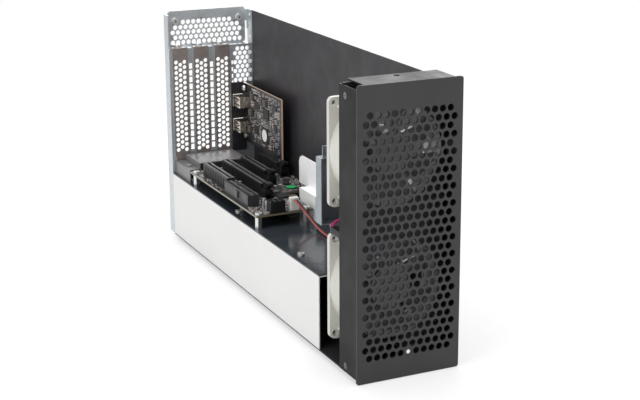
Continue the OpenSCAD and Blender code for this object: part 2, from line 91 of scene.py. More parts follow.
# Shader helpers
def new_material(name, color, rough, metal=0.0, specular=0.5):
    """A material and its nodes, links and shader, with the plain numbers on the shader itself."""
    mat = bpy.data.materials.new(name)
    mat.use_nodes = True
    shader = mat.node_tree.nodes["Principled BSDF"]
    shader.inputs["Base Color"].default_value = (*color, 1)
    shader.inputs["Roughness"].default_value = rough
    shader.inputs["Metallic"].default_value = metal
    shader.inputs["Specular IOR Level"].default_value = specular
    mat.diffuse_color = (*color, 1)
    return mat, mat.node_tree.nodes, mat.node_tree.links, shader


def feed(links, value, socket):
    """A link into the socket where value is a socket too, or else the plain value on it."""
    if isinstance(value, bpy.types.NodeSocket):
        links.new(value, socket)
    else:
        socket.default_value = value


def coords(nodes):
    return nodes.new("ShaderNodeTexCoord").outputs["Object"]


def noise(nodes, links, scale, detail, stretch=None):
    """A noise texture over the object's metres, scaled again by axis where stretch is given."""
    tex = nodes.new("ShaderNodeTexNoise")
    tex.inputs["Scale"].default_value = scale
    tex.inputs["Detail"].default_value = detail
    source = coords(nodes)
    if stretch:
        mapping = nodes.new("ShaderNodeMapping")
        mapping.inputs["Scale"].default_value = stretch
        links.new(source, mapping.inputs["Vector"])
        source = mapping.outputs["Vector"]
    links.new(source, tex.inputs["Vector"])
    return tex.outputs["Fac"]


def cells(nodes, links, scale, output="Distance", feature="F1"):
    """One output of a cell pattern over the object's metres."""
    tex = nodes.new("ShaderNodeTexVoronoi")
    tex.feature = feature
    tex.inputs["Scale"].default_value = scale
    links.new(coords(nodes), tex.inputs["Vector"])
    return tex.outputs[output]


def ramp(nodes, links, fac, stops):
    """A colour ramp with a colour at each (place, colour) of stops."""
    node = nodes.new("ShaderNodeValToRGB")
    while len(node.color_ramp.elements) < len(stops):
        node.color_ramp.elements.new(0.5)
    for element, (place, color) in zip(node.color_ramp.elements, stops):
        element.position = place
        element.color = (*color, 1)
    links.new(fac, node.inputs["Fac"])
    return node.outputs["Color"]


def number_math(nodes, links, operation, *values):
    """The outcome of a math node on one or two sockets."""
    node = nodes.new("ShaderNodeMath")
    node.operation = operation
    for socket, value in zip(node.inputs, values):
        links.new(value, socket)
    return node.outputs["Value"]


def vector_math(nodes, links, operation, first, second=None):
    """The outcome of a vector math node on a socket and, where it takes two, a plain vector."""
    node = nodes.new("ShaderNodeVectorMath")
    node.operation = operation
    links.new(first, node.inputs[0])
    if second is not None:
        node.inputs[1].default_value = second
    return node.outputs["Value" if operation == "LENGTH" else "Vector"]


def map_range(nodes, links, value, source, target=(0.0, 1.0)):
    """A value on the range source, put on the range target."""
    node = nodes.new("ShaderNodeMapRange")
    names = ("From Min", "From Max", "To Min", "To Max")
    for name, end in zip(names, (*source, *target)):
        node.inputs[name].default_value = end
    links.new(value, node.inputs["Value"])
    return node.outputs["Result"]


def color_mix(nodes, links, factor, first, second, blend="MIX"):
    """A mix of two colours, where the factor and the colours are sockets or plain values."""
    node = nodes.new("ShaderNodeMix")
    node.data_type = "RGBA"
    node.blend_type = blend
    feed(links, factor, node.inputs["Factor"])
    feed(links, first, node.inputs["A"])
    feed(links, second, node.inputs["B"])
    return node.outputs["Result"]


def shader_mix(nodes, links, share, first, second):
    node = nodes.new("ShaderNodeMixShader")
    links.new(share, node.inputs["Fac"])
    links.new(first, node.inputs[1])
    links.new(second, node.inputs[2])
    return node.outputs["Shader"]


def grey(value):
    return (value, value, value)


def scaled(color, k):
    return tuple(min(1.0, c * k) for c in color)


def vary_color(nodes, links, shader, fac, color, shades, ends=(0.3, 0.7)):
    """The colour times the two shades, as fac goes from one end to the other."""
    stops = [(end, scaled(color, shade)) for end, shade in zip(ends, shades)]
    links.new(ramp(nodes, links, fac, stops), shader.inputs["Base Color"])


def vary_roughness(nodes, links, shader, fac, low, high, ends=(0.3, 0.7)):
    """Roughness from low to high, as fac goes from one end to the other."""
    stops = [(ends[0], grey(low)), (ends[1], grey(high))]
    links.new(ramp(nodes, links, fac, stops), shader.inputs["Roughness"])


def bump(nodes, links, shader, height, strength, distance):
    node = nodes.new("ShaderNodeBump")
    node.inputs["Strength"].default_value = strength
    node.inputs["Distance"].default_value = distance
    links.new(height, node.inputs["Height"])
    links.new(node.outputs["Normal"], shader.inputs["Normal"])


# Materials
def powder_coat(name, color, rough, grain=2600, depth=0.00012, strength=0.35, specular=0.5,
                clouding=0.1):
    """Baked powder paint: a fine orange peel and slight clouds in colour and gloss."""
    mat, nodes, links, shader = new_material(name, color, rough, 0.0, specular)
    clouds = noise(nodes, links, scale=18, detail=3)
    vary_color(nodes, links, shader, clouds, color, (1 - clouding, 1 + clouding), (0.35, 0.65))
    gloss = noise(nodes, links, scale=60, detail=5)
    vary_roughness(nodes, links, shader, gloss, rough - 0.06, rough + 0.08)
    peel = noise(nodes, links, scale=grain, detail=2)
    bump(nodes, links, shader, peel, strength, depth)
    return mat


def zinc_plate(name, color, rough, metal):
    """Galvanised sheet: crystals of slightly different grey, with a soft rolled grain."""
    mat, nodes, links, shader = new_material(name, color, rough, metal)
    split = nodes.new("ShaderNodeSeparateColor")
    links.new(cells(nodes, links, scale=260, output="Color"), split.inputs["Color"])
    vary_color(nodes, links, shader, split.outputs["Red"], color, (0.94, 1.06), (0.0, 1.0))
    gloss = noise(nodes, links, scale=120, detail=4)
    vary_roughness(nodes, links, shader, gloss, rough - 0.03, rough + 0.05)
    grain = noise(nodes, links, scale=500, detail=3, stretch=(1, 1, 0.15))
    bump(nodes, links, shader, grain, strength=0.05, distance=0.00006)
    return mat


def plastic(name, color, rough, grain=3200, sub=0.0, specular=0.5):
    """Moulded plastic with a fine spark-eroded texture."""
    mat, nodes, links, shader = new_material(name, color, rough, 0.0, specular)
    clouds = noise(nodes, links, scale=35, detail=4)
    vary_color(nodes, links, shader, clouds, color, (0.92, 1.06))
    gloss = noise(nodes, links, scale=150, detail=4)
    vary_roughness(nodes, links, shader, gloss, rough - 0.06, rough + 0.08)
    shader.inputs["Subsurface Weight"].default_value = sub
    pits = noise(nodes, links, scale=grain, detail=3)
    bump(nodes, links, shader, pits, strength=0.2, distance=0.00008)
    return mat


def bare_metal(name, color, rough, metal=1.0):
    """Turned or drawn metal with fine lines in its gloss."""
    mat, nodes, links, shader = new_material(name, color, rough, metal)
    lines = noise(nodes, links, scale=700, detail=4, stretch=(1, 1, 12))
    vary_color(nodes, links, shader, lines, color, (0.85, 1.08))
    vary_roughness(nodes, links, shader, lines, rough - 0.08, rough + 0.12)
    bump(nodes, links, shader, lines, strength=0.08, distance=0.00005)
    return mat


def cut_edges(nodes, links, face_color, axis, edge_color):
    """face_color on the faces that look along an axis, and edge_color on the cut edges."""
    split = nodes.new("ShaderNodeSeparateXYZ")
    links.new(nodes.new("ShaderNodeTexCoord").outputs["Normal"], split.inputs["Vector"])
    size = number_math(nodes, links, "ABSOLUTE", split.outputs[axis])
    facing = ramp(nodes, links, size, [(0.4, grey(0.0)), (0.6, grey(1.0))])
    return color_mix(nodes, links, facing, (*edge_color, 1), face_color)


def circuit_board(name, color, trace, edge_color, scale=190, axis="Z"):
    """Black solder mask over copper: faint traces, filled vias, a satin gloss and tan cut edges."""
    mat, nodes, links, shader = new_material(name, color, 0.32)
    lines = cells(nodes, links, scale, feature="DISTANCE_TO_EDGE")
    traces = ramp(nodes, links, lines, [(0.035, grey(1.0)), (0.06, grey(0.0))])
    dots = cells(nodes, links, scale * 1.9)
    vias = ramp(nodes, links, dots, [(0.13, grey(1.0)), (0.17, grey(0.0))])
    copper = color_mix(nodes, links, 1.0, traces, vias, "LIGHTEN")
    mask = color_mix(nodes, links, copper, (*color, 1), (*trace, 1))
    links.new(cut_edges(nodes, links, mask, axis, edge_color), shader.inputs["Base Color"])
    bump(nodes, links, shader, copper, strength=0.25, distance=0.00006)
    shader.inputs["Coat Weight"].default_value = 0.3
    shader.inputs["Coat Roughness"].default_value = 0.25
    return mat


# The lamp's lens: its middle, the radii of its bright middle and dark rim in metres, the rim's colour
LENS_AT = at(BODY_W / 2, 0, 19)
LENS_RADII = (0.0009, 0.0019)
LENS_RIM = grey(0.02)


def lamp_lens(name, color, strength):
    """A small clear lens: a lit middle that fades into a dark rim round the lamp's own axis."""
    mat, nodes, links, shader = new_material(name, color, 0.2)
    away = vector_math(nodes, links, "SUBTRACT", coords(nodes), LENS_AT)
    flat = vector_math(nodes, links, "MULTIPLY", away, (1, 0, 1))
    reach = vector_math(nodes, links, "LENGTH", flat)
    share = map_range(nodes, links, reach, LENS_RADII)
    rings = ramp(nodes, links, share, [(0.0, color), (1.0, LENS_RIM)])
    links.new(rings, shader.inputs["Base Color"])
    links.new(rings, shader.inputs["Emission Color"])
    shader.inputs["Emission Strength"].default_value = strength
    return mat


def make_materials():
    """Every material by its short name, with colours as linear red, green and blue."""
    return {
        "face": powder_coat("face_paint", (0.021, 0.021, 0.0225), 0.5, specular=0.4),
        # Painted shade: the flanges get a darker, duller copy of the face's paint, for the shade on the
        # bezel's folded sides
        "flange": powder_coat("shaded_flange_paint", (0.01, 0.01, 0.0105), 0.42, specular=0.1),
        "wall": powder_coat("wall_paint", (0.022, 0.02, 0.023), 0.45, grain=1500, depth=0.0002,
                            strength=0.3, specular=0.35),
        "shelf": powder_coat("shelf_paint", (0.032, 0.038, 0.046), 0.12, grain=380, depth=0.0003,
                             strength=0.2, specular=0.6),
        "side": powder_coat("side_plate", (0.69, 0.685, 0.68), 0.5, grain=900, depth=0.0001,
                            strength=0.2, specular=0.3, clouding=0.012),
        "grey": powder_coat("grey_paint", (0.15, 0.146, 0.146), 0.36),
        "white": powder_coat("white_paint", (0.9, 0.9, 0.9), 0.35, clouding=0.02),
        "zinc": zinc_plate("zinc_plate", (0.5, 0.53, 0.55), 0.3, metal=0.65),
        "tray": zinc_plate("tray_plate", (0.24, 0.27, 0.29), 0.3, metal=0.7),
        "cover": zinc_plate("cover_plate", (0.27, 0.235, 0.22), 0.38, metal=0.55),
        "psu": zinc_plate("psu_plate", (0.5, 0.52, 0.53), 0.3, metal=0.9),
        "steel": bare_metal("screw_steel", (0.74, 0.74, 0.73), 0.25, metal=0.65),
        "dark_screw": bare_metal("blackened_screw", (0.16, 0.16, 0.165), 0.3, metal=0.8),
        "can": bare_metal("capacitor_can", (0.62, 0.63, 0.65), 0.3),
        "port": bare_metal("port_shell", (0.74, 0.66, 0.58), 0.2, metal=0.95),
        "tin": bare_metal("tinned_end", (0.9, 0.88, 0.88), 0.3, metal=0.6),
        "gilt": bare_metal("gilt_contact", (0.8, 0.58, 0.24), 0.25),
        "post": bare_metal("standoff_steel", (0.66, 0.66, 0.65), 0.28),
        "fan": plastic("fan_plastic", (0.56, 0.555, 0.51), 0.42, sub=0.02),
        "rotor": plastic("rotor_plastic", (0.13, 0.13, 0.13), 0.35),
        "black": plastic("black_plastic", (0.009, 0.009, 0.01), 0.4, specular=0.4),
        "dark": plastic("dark_plastic", (0.028, 0.028, 0.03), 0.42),
        "ivory": plastic("ivory_plastic", (0.78, 0.77, 0.72), 0.4, sub=0.05),
        # Painted highlight: a pale grey for the lines along the card grooves' rims
        "rim": plastic("rim_highlight_paint", (0.11, 0.11, 0.115), 0.35),
        "rubber": plastic("rubber", (0.02, 0.02, 0.02), 0.75),
        "red_wire": plastic("red_sleeve", (0.42, 0.075, 0.07), 0.35),
        "black_wire": plastic("black_sleeve", (0.015, 0.015, 0.015), 0.35),
        "magenta": plastic("magenta_sleeve", (0.5, 0.03, 0.16), 0.35),
        "chip": plastic("chip_resin", (0.014, 0.014, 0.015), 0.5, grain=6000),
        "coil": plastic("coil_ferrite", (0.085, 0.078, 0.072), 0.55),
        "ceramic": plastic("ceramic_part", (0.3, 0.215, 0.175), 0.4, grain=5000),
        # Painted shade: near black for the screws' cross recesses and the ports' slits
        "recess": plastic("recess_shadow", (0.012, 0.012, 0.012), 0.6),
        "label": plastic("plain_label", (0.8, 0.8, 0.78), 0.5, grain=1500),
        "green": plastic("green_label", (0.02, 0.42, 0.12), 0.45, grain=1500),
        "pcb": circuit_board("board_mask", (0.01, 0.008, 0.0095), (0.03, 0.027, 0.026),
                             (0.16, 0.14, 0.09)),
        "card": circuit_board("card_mask", (0.006, 0.005, 0.006), (0.022, 0.02, 0.02),
                              (0.62, 0.46, 0.34), scale=240, axis="X"),
        "lens": lamp_lens("lamp_lens", (0.6, 0.63, 0.68), strength=0.25),
    }


CAD_FINISH = {
    "base_pan": "wall", "front_face": "face", "front_flanges": "flange", "front_frame": "wall",
    "rear_panel": "zinc", "rear_top_plate": "zinc", "slot_cover_1": "cover", "slot_cover_2": "cover",
    "slot_cover_3": "cover", "slot_screws": "steel", "plate_screws": "steel", "bezel_screws": "dark_screw",
    "wall_screws": "dark_screw", "fan_frame_upper": "fan", "fan_frame_lower": "fan",
    "fan_rotor_upper": "rotor", "fan_rotor_lower": "rotor", "fan_screws": "dark_screw",
    "psu_shelf": "shelf", "psu_side_panel": "side", "shelf_screws": "steel", "power_supply": "psu",
    "power_inlet": "black", "exhaust_grille": "steel", "backplane": "pcb", "standoffs": "post",
    "board_screws": "steel", "slot_a": "black", "slot_b": "black", "slot_c": "black", "slot_d": "black",
    "latch_b": "black", "latch_c": "black", "latch_d": "black", "power_header": "dark",
    "cell_header": "black", "fan_header": "ivory", "board_chips": "chip", "board_capacitors": "can",
    "board_coils": "coil", "host_card": "card", "host_bracket": "wall", "host_ports": "port",
    "host_chips": "chip", "host_coils": "coil", "rear_support": "grey", "card_support": "white",
    "fan_tray": "tray", "tray_screws": "steel", "status_led": "lens", "led_holder": "black",
    "rubber_feet": "rubber", "lead_red": "red_wire", "lead_black": "black_wire", "lead_plug": "ivory",
}


def dress_cad(mats):
    """The finish of every CAD node."""
    for name, finish in CAD_FINISH.items():
        data = NODES[name].data
        data.materials.clear()
        data.materials.append(mats[finish])


# Mesh helpers
def new_piece(name, bm, mat, body="chassis"):
    """A mesh object from bm with one material, riding on a body."""
    bmesh.ops.recalc_face_normals(bm, faces=bm.faces)
    data = bpy.data.meshes.new(name)
    bm.to_mesh(data)
    bm.free()
    data.materials.append(mat)
    piece = bpy.data.objects.new(name, data)
    bpy.context.scene.collection.objects.link(piece)
    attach(piece, body)
    return piece


def add_box(bm, low, high, turn=Matrix.Identity(4)):
    """A box between two corners, put through turn."""
    low, high = Vector(low), Vector(high)
    place = turn @ Matrix.Translation((low + high) / 2) @ Matrix.Diagonal((*(high - low), 1))
    bmesh.ops.create_cube(bm, size=1, matrix=place)


def add_disc(bm, centre, radius, height, turn, sides, top=None):
    """An upright disc, or a cone with the radius top at its upper end, that stands on centre."""
    top = radius if top is None else top
    place = turn @ Matrix.Translation(Vector(centre) + Vector((0, 0, height / 2)))
    bmesh.ops.create_cone(bm, cap_ends=True, segments=sides, radius1=radius, radius2=top,
                          depth=height, matrix=place)


def soften(bm, width):
    """A small bevel on every sharp edge."""
    edges = [e for e in bm.edges if len(e.link_faces) == 2 and e.calc_face_angle(0) > SHARP]
    bmesh.ops.bevel(bm, geom=edges, offset=width, segments=2, profile=0.6, affect="EDGES")


# Corners of a CAD mesh that agree to a micrometre are one corner
MICROMETRES = 1e6


def islands(node):
    """The (lowest, highest) corners of each separate solid of a CAD node, in metres."""
    data = NODES[node].data
    keys = [tuple(round(c * MICROMETRES) for c in v.co) for v in data.vertices]
    parent = {key: key for key in keys}

    def root(key):
        while parent[key] != key:
            parent[key] = parent[parent[key]]
            key = parent[key]
        return key

    for face in data.polygons:
        first = root(keys[face.vertices[0]])
        for index in face.vertices[1:]:
            parent[root(keys[index])] = first
    groups = {}
    for key, vertex in zip(keys, data.vertices):
        groups.setdefault(root(key), []).append(vertex.co)
    boxes = []
    for points in groups.values():
        low = Vector([min(p[i] for p in points) for i in range(3)])
        high = Vector([max(p[i] for p in points) for i in range(3)])
        boxes.append((low, high))
    return sorted(boxes, key=lambda b: tuple(round(c, 5) for c in b[0]))


# A board's own plane: u and v along it and h out of its parts' side
BACKPLANE = Matrix.Translation(at(0, 0, BOARD_TOP))
CARD_AXES = Matrix(((0, 0, -1, 0), (1, 0, 0, 0), (0, 1, 0, 0), (0, 0, 0, 1)))
CARD = Matrix.Translation(at(HOST_X, 0, 0)) @ CARD_AXES


def on_board(board, low, high):
    """A solid's box on a board, as (u0, v0, u1, v1, height) in mm."""
    back = board.inverted()
    a, b = back @ low / MM, back @ high / MM
    return min(a.x, b.x), min(a.y, b.y), max(a.x, b.x), max(a.y, b.y), max(a.z, b.z)


def footprints(nodes, board):
    """The (u0, v0, u1, v1) boxes that a board's larger parts cover, in mm."""
    return [on_board(board, *box)[:4] for node in nodes for box in islands(node)]


# Small parts on the boards
# Length, width and height in mm, and the mesh that each body goes into
SMALL_PARTS = [(1.6, 0.8, 0.8, "tan"), (1.6, 0.8, 0.5, "dark"), (2.0, 1.25, 1.0, "tan"),
               (1.0, 0.5, 0.5, "dark"), (3.2, 1.6, 1.3, "tan")]
PART_GAP = 0.5
# The tinned ends' share of a part's length, and its body's height as a share of theirs
END_SHARE = 0.22
BODY_SHARE = 0.96
# How many parts stand in a row, and how many places are tried for each part that is asked for
ROW_COUNTS = (1, 2, 3, 4)
TRIES = 30


def is_free(spot, taken):
    """Whether a spot keeps the gap from all that is taken."""
    u0, v0, u1, v1 = spot
    return all(u0 - PART_GAP > t[2] or u1 + PART_GAP < t[0] or v0 - PART_GAP > t[3]
               or v1 + PART_GAP < t[1] for t in taken)


def to_half(value):
    """A length in mm, to the nearest half."""
    return round(value * 2) / 2


def add_small_part(meshes, board, spot, along_u, kind, height):
    """One chip part: a body between two tinned ends."""
    u0, v0, u1, v1 = metres(*spot)
    du = (u1 - u0) * END_SHARE if along_u else 0
    dv = 0 if along_u else (v1 - v0) * END_SHARE
    top = height * MM
    near = (u0 + du, v1) if along_u else (u1, v0 + dv)
    far = (u1 - du, v0) if along_u else (u0, v1 - dv)
    add_box(meshes["tin"], (u0, v0, 0), (*near, top), board)
    add_box(meshes["tin"], (*far, 0), (u1, v1, top), board)
    add_box(meshes[kind], (u0 + du, v0 + dv, 0), (u1 - du, v1 - dv, top * BODY_SHARE), board)


def small_parts(name, board, areas, taken, count, seed, mats):
    """Short rows of small chip parts, kept clear of each other and of what is taken."""
    rng = random.Random(seed)
    meshes = {key: bmesh.new() for key in ("tan", "dark", "tin")}
    made = 0
    for _ in range(count * TRIES):
        if made >= count:
            break
        area = rng.choice(areas)
        length, width, height, kind = rng.choice(SMALL_PARTS)
        along_u = rng.random() < 0.5
        du, dv = (length, width) if along_u else (width, length)
        u = to_half(rng.uniform(area[0], area[2]))
        v = to_half(rng.uniform(area[1], area[3]))
        for k in range(rng.choice(ROW_COUNTS)):
            step = k * (width + 2 * PART_GAP)
            u0, v0 = (u, v + step) if along_u else (u + step, v)
            spot = (u0, v0, u0 + du, v0 + dv)
            if spot[2] > area[2] or spot[3] > area[3] or not is_free(spot, taken):
                break
            taken.append(spot)
            made += 1
            add_small_part(meshes, board, spot, along_u, kind, height)
    new_piece(name + "_ceramics", meshes["tan"], mats["ceramic"])
    new_piece(name + "_resistors", meshes["dark"], mats["chip"])
    new_piece(name + "_solder", meshes["tin"], mats["tin"])


# Chip leads, in mm: pitch, half width, reach, thickness and the first one's place from a corner
LEAD_PITCH = 0.65
LEAD_HALF = 0.15
LEAD_OUT = 0.7
LEAD_THICK = 0.2
LEAD_FIRST = 0.6
# The dot in a chip's corner, and the smallest chip that has leads, in mm
DOT_IN = 1
DOT_RADIUS = 0.35
DOT_THICK = 0.02
SMALLEST_CHIP = 5.0


def add_leads(bm, board, low, high, sides, across):
    """Rows of leads on two opposite sides of a chip, between low and high along them."""
    for k in range(int((high - low - 2 * LEAD_FIRST) / LEAD_PITCH) + 1):
        middle = low + LEAD_FIRST + k * LEAD_PITCH
        for side in sides:
            a, b = (middle - LEAD_HALF, side), (middle + LEAD_HALF, side + LEAD_OUT)
            a, b = (a[::-1], b[::-1]) if across else (a, b)
            add_box(bm, metres(*a, 0), metres(*b, LEAD_THICK), board)


def chip_leads(name, node, board, mats):
    """Rows of leads round the larger chips of a node, and a moulded dot in a corner of each."""
    leads, dots = bmesh.new(), bmesh.new()
    for box in islands(node):
        u0, v0, u1, v1, h = on_board(board, *box)
        if min(u1 - u0, v1 - v0) < SMALLEST_CHIP:
            continue
        spot = metres(u0 + DOT_IN, v0 + DOT_IN, h)
        add_disc(dots, spot, DOT_RADIUS * MM, DOT_THICK * MM, board, 16)
        add_leads(leads, board, u0, u1, (v0 - LEAD_OUT, v1), False)
        add_leads(leads, board, v0, v1, (u0 - LEAD_OUT, u1), True)
    new_piece(name + "_leads", leads, mats["tin"])
    new_piece(name + "_dots", dots, mats["dark"])


# Where small parts may stand, as (u0, v0, u1, v1) in mm, and the card's two screws and open hole
BOARD_AREAS = [(3, 187, 51, 239), (3, 240, 78, 340), (17, 240, 66, 300)]
CARD_AREAS = [(294, 91, 364, 141)]
CARD_TAKEN = [(372, 134, 382, 142), (294, 135, 300, 141), (372, 89, 380, 97)]
BOARD_NODES = ["slot_a", "slot_b", "slot_c", "slot_d", "latch_b", "latch_c", "latch_d", "power_header",
               "cell_header", "fan_header", "board_chips", "board_capacitors", "board_coils",
               "board_screws"]
CARD_NODES = ["host_chips", "host_coils", "host_ports"]


def dress_boards(mats):
    """What is too small for the solids on both boards."""
    taken = footprints(BOARD_NODES, BACKPLANE)
    small_parts("board", BACKPLANE, BOARD_AREAS, taken, count=560, seed=11, mats=mats)
    taken = footprints(CARD_NODES, CARD) + CARD_TAKEN
    small_parts("card", CARD, CARD_AREAS, taken, count=210, seed=23, mats=mats)
    chip_leads("board", "board_chips", BACKPLANE, mats)
    chip_leads("card", "host_chips", CARD, mats)


# Card slots and headers
# How far a groove's contacts start behind the node's front end, in mm, and stop short of its rear end
CONTACT_STARTS = {"slot_a": 2.6, "slot_b": 11.6, "slot_c": 11.6}
CONTACT_STOP = 2.6
# The contacts, in mm: the first one's place, pitch, distance from the middle, size, depth below the rim
CONTACT_FIRST = 0.3
CONTACT_PITCH = 1.0
CONTACT_SIDE = 0.86
CONTACT_HALF = 0.1
CONTACT_LONG = 0.5
CONTACT_DEPTHS = (6, 0.6)
# The pale rim lines, a painted highlight on the grooves' rims, in mm: distance from the middle, half
# width, how far they start before the contacts and stop short of the rear end, and how deep and how high
# they reach
RIM_SIDE = 2.2
RIM_HALF = 0.5
RIM_FRONT = 0.4
RIM_REAR = 2
RIM_SUNK = 0.05
RIM_RISE = 0.06


def slot_contacts(mats):
    """Gilt spring contacts along both walls of each open card groove, and a pale line on the rims as a
    painted highlight.
    """
    contacts, rims = bmesh.new(), bmesh.new()
    thick, long = metres(CONTACT_HALF, CONTACT_LONG)
    half, sunk, rise = metres(RIM_HALF, RIM_SUNK, RIM_RISE)
    for node, front in CONTACT_STARTS.items():
        low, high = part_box(node)
        middle = (low.x + high.x) / 2
        start = low.y + front * MM
        foot, top = (high.z - depth * MM for depth in CONTACT_DEPTHS)
        for k in range(int((high.y - CONTACT_STOP * MM - start) / (CONTACT_PITCH * MM))):
            y = start + (k * CONTACT_PITCH + CONTACT_FIRST) * MM
            for side in (-1, 1):
                x = middle + side * CONTACT_SIDE * MM
                add_box(contacts, (x - thick, y, foot), (x + thick, y + long, top))
        y0, y1 = start - RIM_FRONT * MM, high.y - RIM_REAR * MM
        for side in (-1, 1):
            x = middle + side * RIM_SIDE * MM
            add_box(rims, (x - half, y0, high.z - sunk), (x + half, y1, high.z + rise))
    new_piece("slot_contacts", contacts, mats["gilt"])
    new_piece("slot_rim_highlights", rims, mats["rim"])


# The headers' cells across and along, and the width that they share, in mm
HEADER_CELLS = (("power_header", 2, 12, 10.2), ("cell_header", 3, 2, 13.0))
# A pin's half width, and how far its ends stay from the header's foot and rim, in mm
PIN_HALF = 0.35
PIN_FOOT = 2
PIN_SUNK = 2.2


def header_pins(mats):
    """Square gilt pins in the cells of the two power headers."""
    bm = bmesh.new()
    half, foot, sunk = metres(PIN_HALF, PIN_FOOT, PIN_SUNK)
    for node, across, along, width in HEADER_CELLS:
        low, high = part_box(node)
        left = high.x - width * MM
        for i in range(across):
            for k in range(along):
                x = left + (high.x - left) / across * (i + 0.5)
                y = low.y + (high.y - low.y) / along * (k + 0.5)
                add_box(bm, (x - half, y - half, low.z + foot), (x + half, y + half, high.z - sunk))
    new_piece("header_pins", bm, mats["gilt"])


# Screws and labels
UP = Matrix.Identity(4)
TO_FRONT = Matrix.Rotation(math.radians(90), 4, "X")
TO_BACK = Matrix.Rotation(math.radians(-90), 4, "X")
TO_LEFT = Matrix.Rotation(math.radians(-90), 4, "Y")
TO_RIGHT = Matrix.Rotation(math.radians(90), 4, "Y")

# Which way the heads look; those without a way look out of the nearer side
SCREW_HEADS = [("slot_screws", UP), ("shelf_screws", UP), ("board_screws", UP), ("plate_screws", TO_FRONT),
               ("tray_screws", TO_BACK), ("wall_screws", TO_RIGHT), ("bezel_screws", None)]
# A cross: half its length by the head's width, its arms' width by their length, and its reach in mm
ARM_SHARE = 0.22
ARM_WIDTH = 0.22
CROSS_SUNK = 0.05
CROSS_RISE = 0.02


def add_cross(bm, place, arm):
    for a, b in ((arm, arm * ARM_WIDTH), (arm * ARM_WIDTH, arm)):
        add_box(bm, (-a, -b, -CROSS_SUNK * MM), (a, b, CROSS_RISE * MM), place)


def screw_recess_shade(mats):
    """A dark cross in the head of each screw, painted shade for its recess, by the way that the screw
    points.
    """
    bm = bmesh.new()
    for node, turn in SCREW_HEADS:
        for low, high in islands(node):
            centre = (low + high) / 2
            way = turn or (TO_LEFT if centre.x < 0 else TO_RIGHT)
            normal = way.to_3x3() @ Vector((0, 0, 1))
            reach = abs(normal.dot(high - low)) / 2
            arm = sorted(high - low)[1] * ARM_SHARE
            add_cross(bm, Matrix.Translation(centre + normal * reach) @ way, arm)
    new_piece("screw_recess_shade", bm, mats["recess"])


# Round labels, in mm: place on their board's plane, radius and thickness
CARD_LABEL = ((327, 103, 1.62), 5.5, 0.08)
BOARD_LABEL = ((60.5, 250.5, 1.32), 4.4, 0.1)
HUB_LABEL_RADIUS = 14
HUB_LABEL_THICK = 0.08


def round_label(name, label, board, mat):
    """One round label on a board."""
    spot, radius, thick = label
    bm = bmesh.new()
    add_disc(bm, metres(*spot), radius * MM, thick * MM, board, 40)
    new_piece(name, bm, mat)


def stickers(mats):
    """Plain round labels: white on the card, green on a chip, pale on the fans' hubs."""
    round_label("card_label", CARD_LABEL, CARD, mats["label"])
    round_label("board_label", BOARD_LABEL, BACKPLANE, mats["green"])
    hubs = bmesh.new()
    for node in ("fan_frame_upper", "fan_frame_lower"):
        low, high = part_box(node)
        middle = (low + high) / 2
        turn = Matrix.Translation((middle.x, high.y, middle.z)) @ TO_BACK
        add_disc(hubs, (0, 0, 0), HUB_LABEL_RADIUS * MM, HUB_LABEL_THICK * MM, turn, 48)
    new_piece("hub_labels", hubs, mats["label"])


# The card's two screws: places on its plane, foot and top radius, height and bevel, in mm
CARD_SCREWS = ((376, 138, 1.0), (376, 93, 0))
CARD_SCREW_RADII = (2.6, 2.1)
CARD_SCREW_HEIGHT = 1.4
CARD_SCREW_BEVEL = 0.15


def card_screws(mats):
    """The two bright screws that hold the card to its bracket."""
    bm = bmesh.new()
    foot, top = metres(*CARD_SCREW_RADII)
    for spot in CARD_SCREWS:
        add_disc(bm, metres(*spot), foot, CARD_SCREW_HEIGHT * MM, CARD, 32, top)
    soften(bm, CARD_SCREW_BEVEL * MM)
    new_piece("card_screws", bm, mats["steel"])


# Ports
# A tongue's left side, rear end and foot, from the shell's left, rear and lower side, and its size, in mm
TONGUE_AT = (2.9, 1.2, 4.6)
TONGUE_SIZE = (1.6, 8.4, 1.4)
# The slits, in mm: the rise of those in the left side, their height, and the one in the top
SIDE_SLITS = (2.6, 7.6)
SIDE_SLIT_HEIGHT = 1.1
TOP_SLIT = (3, 4.6)
# How far the slits' dark strips, painted shade for the open slits, stay from the ends, stand out and reach
# in, in mm
SLIT_ENDS = 2.5
SLIT_OUT = 0.04
SLIT_IN = 0.05


def port_tongues(mats):
    """The dark tongue inside each port, and dark strips of painted shade for the spring slits in its
    shell.
    """
    tongue, slits = bmesh.new(), bmesh.new()
    from_left, from_rear, from_foot = metres(*TONGUE_AT)
    wide, long, thick = metres(*TONGUE_SIZE)
    for low, high in islands("host_ports"):
        x, y, z = low.x + from_left, high.y - from_rear, low.z + from_foot
        add_box(tongue, (x, y - long, z), (x + wide, y, z + thick))
        y0, y1 = low.y + SLIT_ENDS * MM, high.y - SLIT_ENDS * MM
        for rise in SIDE_SLITS:
            z = low.z + rise * MM
            add_box(slits, (low.x - SLIT_OUT * MM, y0, z),
                    (low.x + SLIT_IN * MM, y1, z + SIDE_SLIT_HEIGHT * MM))
        x0, x1 = (low.x + side * MM for side in TOP_SLIT)
        add_box(slits, (x0, y0, high.z - SLIT_IN * MM), (x1, y1, high.z + SLIT_OUT * MM))
    new_piece("port_slit_shade", slits, mats["recess"])
    new_piece("port_tongues", tongue, mats["black"])


# Fan splice
# The splice block's corners in the part's places, and its bevel, in mm
SPLICE_LOW = (2.2, 28, 99)
SPLICE_HIGH = (7.8, 48, 104)
SPLICE_BEVEL = 0.3
# Its ribs, in mm: the first one's place, pitch, length, ends beside the block's left side, and heights
RIB_COUNT = 5
RIB_FIRST = 3
RIB_PITCH = 3.4
RIB_LONG = 1.5
RIB_X = (-0.3, 0.4)
RIB_Z = (100, 103.2)
